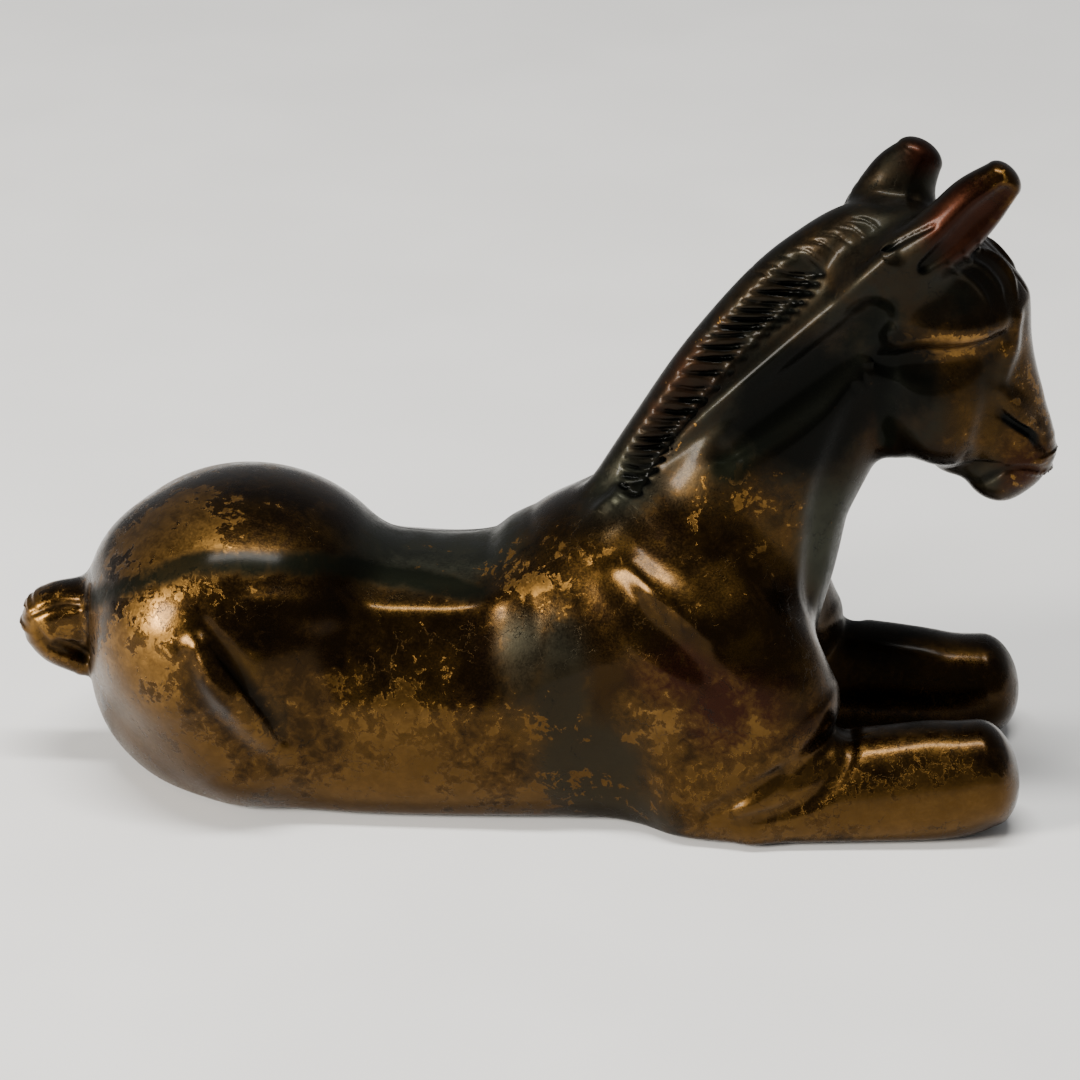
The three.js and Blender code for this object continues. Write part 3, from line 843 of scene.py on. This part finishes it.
# ---------------------------------------------------------------- materials
class Nodes:
    """Short helpers round one material's node tree."""

    def __init__(self, name):
        self.material = bpy.data.materials.new(name)
        self.material.use_nodes = True
        self.tree = self.material.node_tree
        self.tree.nodes.clear()
        self.place = self.node("ShaderNodeTexCoord").outputs["Object"]

    def node(self, kind, **settings):
        made = self.tree.nodes.new(kind)
        for key, value in settings.items():
            setattr(made, key, value)
        return made

    def link(self, source, socket):
        if hasattr(source, "is_output"):
            self.tree.links.new(source, socket)
        else:
            socket.default_value = source

    def math(self, operation, a, b=0.0, c=0.0):
        made = self.node("ShaderNodeMath", operation=operation)
        for socket, value in zip(made.inputs, (a, b, c)):
            self.link(value, socket)
        return made.outputs[0]

    def noise(self, size_mm, detail=4.0, rough=0.55, warp=0.0, stretch=None):
        source = self.place
        if stretch:
            mapping = self.node("ShaderNodeMapping")
            mapping.inputs["Scale"].default_value = stretch
            self.link(source, mapping.inputs["Vector"])
            source = mapping.outputs[0]
        made = self.node("ShaderNodeTexNoise")
        self.link(source, made.inputs["Vector"])
        made.inputs["Scale"].default_value = 1.0 / (size_mm * MM)
        made.inputs["Detail"].default_value = detail
        made.inputs["Roughness"].default_value = rough
        made.inputs["Distortion"].default_value = warp
        return made.outputs["Fac"]

    def ramp(self, source, low, high, from_value=0.0, to_value=1.0):
        """A smooth step from from_value at low to to_value at high."""
        made = self.node("ShaderNodeMapRange", clamp=True, interpolation_type="SMOOTHSTEP")
        self.link(source, made.inputs["Value"])
        made.inputs["From Min"].default_value = low
        made.inputs["From Max"].default_value = high
        made.inputs["To Min"].default_value = from_value
        made.inputs["To Max"].default_value = to_value
        return made.outputs[0]

    def mix(self, share, a, b):
        made = self.node("ShaderNodeMix", data_type="RGBA")
        self.link(share, made.inputs["Factor"])
        for socket, value in ((made.inputs[6], a), (made.inputs[7], b)):
            self.link((*value, 1.0) if isinstance(value, tuple) else value, socket)
        return made.outputs[2]

    def blend(self, share, a, b):
        made = self.node("ShaderNodeMix", data_type="FLOAT")
        self.link(share, made.inputs["Factor"])
        self.link(a, made.inputs[2])
        self.link(b, made.inputs[3])
        return made.outputs[0]

    def cracks(self, size_mm, width):
        """Thin lines where cells meet, wandering and broken up."""
        wander = self.node("ShaderNodeTexNoise")
        self.link(self.place, wander.inputs["Vector"])
        wander.inputs["Scale"].default_value = 1.0 / (0.4 * size_mm * MM)
        wander.inputs["Detail"].default_value = 5.0
        shift = self.node("ShaderNodeVectorMath", operation="MULTIPLY_ADD")
        self.link(wander.outputs["Color"], shift.inputs[0])
        shift.inputs[1].default_value = (0.9 * size_mm * MM,) * 3
        self.link(self.place, shift.inputs[2])
        cells = self.node("ShaderNodeTexVoronoi", feature="DISTANCE_TO_EDGE")
        self.link(shift.outputs[0], cells.inputs["Vector"])
        cells.inputs["Scale"].default_value = 1.0 / (size_mm * MM)
        line = self.ramp(cells.outputs["Distance"], 0.0, width, 1.0, 0.0)
        return self.math("MULTIPLY", line, self.ramp(self.noise(1.6 * size_mm, 3.0), 0.50, 0.60))

    def attribute(self, name):
        return self.node("ShaderNodeAttribute", attribute_name=name).outputs["Fac"]

    def along(self, axis):
        split = self.node("ShaderNodeSeparateXYZ")
        self.link(self.place, split.inputs[0])
        return split.outputs[axis]

    def finish(self, colour, metallic, roughness, height, strength, distance_mm, coat=0.0):
        shader = self.node("ShaderNodeBsdfPrincipled")
        shader.inputs["Coat Weight"].default_value = coat
        shader.inputs["Coat Roughness"].default_value = COAT_ROUGHNESS
        bump = self.node("ShaderNodeBump")
        bump.inputs["Strength"].default_value = strength
        bump.inputs["Distance"].default_value = distance_mm * MM
        self.link(height, bump.inputs["Height"])
        self.link(bump.outputs[0], shader.inputs["Normal"])
        self.link(colour, shader.inputs["Base Color"])
        self.link(metallic, shader.inputs["Metallic"])
        self.link(roughness, shader.inputs["Roughness"])
        output = self.node("ShaderNodeOutputMaterial")
        self.link(shader.outputs[0], output.inputs[0])
        return self.material


# Base colours as linear light.
GOLD = (0.210, 0.108, 0.026)
# painted shade: the darker gold that the worn metal takes low down
SHADED_LOW_GOLD = (0.043, 0.0215, 0.0048)
DULL_GOLD = (0.058, 0.028, 0.0052)
BROWN = (0.0190, 0.0090, 0.0012)
PALE_BROWN = (0.0400, 0.0200, 0.0028)
DARK_BROWN = (0.0100, 0.0044, 0.0008)
VALLEY_GREY = (0.0170, 0.0125, 0.0058)
BACK_GREY = (0.0240, 0.0250, 0.0170)
NECK_GREY = (0.0092, 0.0086, 0.0052)
NECK_BROWN = (0.0125, 0.0080, 0.0035)
DARK_GREEN = (0.0042, 0.0052, 0.0030)
BLACK = (0.0016, 0.0018, 0.0013)
RED_BROWN = (0.0180, 0.0046, 0.0014)


COAT = 0.07          # thin wax
COAT_ROUGHNESS = 0.16
METAL_SHADE_HEIGHTS = (0.010, 0.030)      # heights in metres between which the worn metal brightens, as its painted shade lifts
VALLEY_TO_BACK = (0.022, 0.032)
BACK_TO_NECK = (0.038, 0.052)
BARE_FROM, BARE_TO = 0.50, 0.55  # the score where the skin gives way to metal
DARK_MARK_ROUGH = 0.58
BARE_ROUGH = 0.33


class Texture:
    """The bronze's noises, shared by its colour, roughness and bump. Sizes in mm."""

    def __init__(self, n):
        self.broad = n.noise(11, 4.0, 0.6, 0.4)
        self.patch = n.noise(4.0, 6.0, 0.62, 0.3)
        self.chips = n.noise(1.4, 7.0, 0.66, 0.6)
        self.grain = n.noise(0.30, 3.0, 0.6)
        self.crack = n.cracks(4.5, 0.014)
        self.tone = n.ramp(n.noise(6.0, 5.0, 0.6, 0.5), 0.35, 0.65)


def wear_score(n, t):
    """How far the skin has worn: the shape's own wear, broken up by three sizes of noise."""
    score = n.math("ADD", n.attribute("wear"), n.math("MULTIPLY_ADD", t.broad, 1.1, -0.55))
    score = n.math("ADD", score, n.math("MULTIPLY_ADD", t.patch, 1.7, -0.85))
    return n.math("ADD", score, n.math("MULTIPLY_ADD", t.chips, 1.5, -0.75))


def skin_colour(n, t, soft_grey):
    """Brown skin, grey in the hollows and on the neck, red-brown in patches."""
    mottled = n.mix(n.ramp(t.broad, 0.4, 0.6), DARK_BROWN, PALE_BROWN)
    colour = n.mix(t.tone, BROWN, mottled)
    on_back, on_neck = n.ramp(n.along(2), *VALLEY_TO_BACK), n.ramp(n.along(2), *BACK_TO_NECK)
    body_grey = n.mix(on_back, VALLEY_GREY, BACK_GREY)
    grey_skin = n.mix(on_neck, body_grey, n.mix(t.tone, NECK_GREY, NECK_BROWN))
    colour = n.mix(soft_grey, colour, grey_skin)
    red = n.math("SUBTRACT", n.attribute("red"), 0.25)
    soft_red = n.ramp(n.math("MULTIPLY_ADD", t.patch, 0.5, red), 0.15, 0.65)
    return n.mix(soft_red, colour, RED_BROWN)


def metal_colour(n, t):
    """Golden worn metal, duller in patches, and darker towards the bottom as painted shade."""
    gold = n.mix(n.ramp(t.chips, 0.35, 0.65), n.mix(0.45, GOLD, DULL_GOLD), GOLD)
    gold = n.mix(n.ramp(t.patch, 0.42, 0.62, 0.0, 0.45), gold, DULL_GOLD)
    # painted shade: the worn metal turns to a darker gold towards the bottom
    gold = n.mix(n.ramp(n.along(2), *METAL_SHADE_HEIGHTS), n.mix(0.80, gold, SHADED_LOW_GOLD), gold)
    stain = n.math("MULTIPLY", n.ramp(n.noise(1.8, 4.0, 0.7, 1.2), 0.50, 0.64), 0.55)
    return n.mix(stain, gold, DULL_GOLD)


def bump_height(n, t, bare):
    """Casting grain, with the metal lower than the skin by its thickness, and the cracks open."""
    height = n.math("MULTIPLY", n.noise(0.9, 4.0, 0.6), 0.5)
    height = n.math("ADD", height, n.math("MULTIPLY", t.grain, 0.22))
    height = n.math("SUBTRACT", height, n.math("MULTIPLY", bare, 0.45))
    height = n.math("SUBTRACT", height, n.math("MULTIPLY", t.crack, 0.6))
    return n.math("ADD", height, n.math("MULTIPLY", t.broad, 1.2))


def bronze_material():
    """Golden metal where hands have worn it, under a brown skin that flakes away at its edges."""
    n = Nodes("bronze_patina")
    t = Texture(n)
    score = wear_score(n, t)
    bare = n.ramp(score, BARE_FROM, BARE_TO)
    grey = n.math("SUBTRACT", n.attribute("grey"), 0.25)
    soft_grey = n.ramp(n.math("MULTIPLY_ADD", t.broad, 0.5, grey), 0.12, 0.75)
    thin = n.math("MULTIPLY", n.ramp(score, 0.00, 0.60), n.math("MULTIPLY_ADD", soft_grey, -0.75, 0.80))
    colour = n.mix(thin, skin_colour(n, t, soft_grey), DULL_GOLD)
    colour = n.mix(bare, colour, metal_colour(n, t))
    ragged = n.math("MULTIPLY_ADD", t.patch, 1.0, n.math("MULTIPLY_ADD", t.broad, 0.8, -0.9))
    # dark green: the flank's band, and painted shade in the neck's hollow and along the line between neck
    # and jaw
    band = n.ramp(n.math("ADD", ragged, n.attribute("band")), 0.35, 0.95, 0.0, 0.95)
    # painted shade and dark reflection: the nearly black patches on the forelegs, in the neck's hollows and
    # round the jaw
    black = n.math("ADD", n.math("MULTIPLY", ragged, 0.8), n.attribute("black"))
    black = n.ramp(black, 0.25, 0.85, 0.0, 0.92)
    # near black deep in the grooves and hollows: the dark patina gathered there, and painted shade
    dark = n.ramp(n.attribute("recess"), 0.20, 0.62)
    colour = n.mix(black, n.mix(band, colour, DARK_GREEN), BLACK)
    colour = n.mix(n.math("MULTIPLY", t.crack, 0.7), colour, BLACK)
    colour = n.mix(dark, colour, BLACK)
    # where patina and painted shade darken the skin: kept rough and not bare metal
    dark_marks = n.math("MAXIMUM", dark, n.math("MAXIMUM", band, black))
    open_metal = n.math("MULTIPLY", bare, n.math("SUBTRACT", 1.0, dark_marks))
    metallic = n.blend(n.math("MAXIMUM", dark_marks, open_metal), n.blend(soft_grey, 0.97, 0.96), 1.0)
    rough = n.blend(open_metal, n.blend(t.tone, 0.20, 0.28), BARE_ROUGH)
    rough = n.blend(soft_grey, rough, n.blend(n.ramp(t.patch, 0.40, 0.60), 0.36, 0.50))
    rough = n.blend(dark_marks, rough, DARK_MARK_ROUGH)
    rough = n.math("ADD", rough, n.ramp(t.grain, 0.3, 0.7, -0.05, 0.07))
    return n.finish(colour, metallic, rough, bump_height(n, t, bare), 0.40, 0.11, coat=COAT)


def pin_material():
    """Bare filed bronze of the pins and plugs."""
    n = Nodes("filed_bronze")
    grain = n.noise(0.3, 3.0, 0.6)
    files = n.noise(0.5, 3.0, 0.6, stretch=(1.0, 1.0, 0.08))
    stain = n.noise(2.5, 4.0, 0.6, 0.8)
    colour = n.mix(n.ramp(stain, 0.4, 0.65), GOLD, BROWN)
    rough = n.math("ADD", 0.34, n.ramp(grain, 0.3, 0.7, -0.04, 0.12))
    return n.finish(colour, 1.0, rough, files, 0.3, 0.08)


def dress(pieces):
    """The patina on the castings' skins, and filed bronze on the frame's own pins and plugs."""
    bronze, filed = bronze_material(), pin_material()
    for piece in pieces:
        piece.data.materials.clear()
        piece.data.materials.append(bronze)
    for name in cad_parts:
        if name not in CASTINGS:
            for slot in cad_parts[name].material_slots:
                slot.material = filed


# ---------------------------------------------------------------- camera, light and floor
CAMERA_AZIMUTH, CAMERA_ELEVATION = math.radians(4.0), math.radians(24.0)
CAMERA_DISTANCE = 0.650
LOOK_AT = Vector((0.0, 0.0, 0.034))
VIEW_WIDTH = 0.146   # of the picture, at the point looked at
SENSOR = 36.0        # mm
FLOOR_HALF = 3.0
FLOOR_DROP = 0.0002  # keeps the floor clear of the underside


def add_camera():
    towards = Vector((
        math.cos(CAMERA_ELEVATION) * math.sin(CAMERA_AZIMUTH),
        -math.cos(CAMERA_ELEVATION) * math.cos(CAMERA_AZIMUTH),
        math.sin(CAMERA_ELEVATION),
    ))
    data = bpy.data.cameras.new("camera")
    data.sensor_width = SENSOR
    data.lens = data.sensor_width * CAMERA_DISTANCE / VIEW_WIDTH
    camera = bpy.data.objects.new("camera", data)
    camera.location = LOOK_AT + towards * CAMERA_DISTANCE
    camera.rotation_euler = (-towards).to_track_quat("-Z", "Y").to_euler()
    bpy.context.scene.collection.objects.link(camera)
    bpy.context.scene.camera = camera


def add_area_light(name, place, size, power, colour):
    data = bpy.data.lights.new(name, "AREA")
    data.shape = "RECTANGLE"
    data.size, data.size_y = size
    data.energy = power
    data.color = colour
    light = bpy.data.objects.new(name, data)
    light.location = place
    light.rotation_euler = (LOOK_AT - Vector(place)).to_track_quat("-Z", "Y").to_euler()
    bpy.context.scene.collection.objects.link(light)


def add_floor():
    mesh = bpy.data.meshes.new("floor")
    corners = [(x * FLOOR_HALF, y * FLOOR_HALF, 0) for x, y in ((-1, -1), (1, -1), (1, 1), (-1, 1))]
    mesh.from_pydata(corners, [], [(0, 1, 2, 3)])
    floor = bpy.data.objects.new("floor", mesh)
    floor.location.z = -FLOOR_DROP
    bpy.context.scene.collection.objects.link(floor)
    n = Nodes("pale_floor")
    speck = n.noise(40, 2.0, 0.5)
    colour = n.mix(n.ramp(speck, 0.3, 0.7), (0.80, 0.80, 0.79), (0.84, 0.84, 0.83))
    mesh.materials.append(n.finish(colour, 0.0, 0.9, speck, 0.02, 0.1))


def add_world():
    world = bpy.data.worlds.new("studio")
    world.use_nodes = True
    world.node_tree.nodes["Background"].inputs["Color"].default_value = (0.95, 0.97, 1.0, 1)
    world.node_tree.nodes["Background"].inputs["Strength"].default_value = 0.28
    bpy.context.scene.world = world


add_camera()
add_area_light("overhead", (0.0, -0.08, 0.80), (0.55, 0.08), 8.0, (1.0, 0.98, 0.94))
add_area_light("left_window", (-0.75, -0.50, 0.36), (0.24, 0.34), 18.0, (1.0, 0.95, 0.88))
add_floor()
add_world()
dress(build_castings())
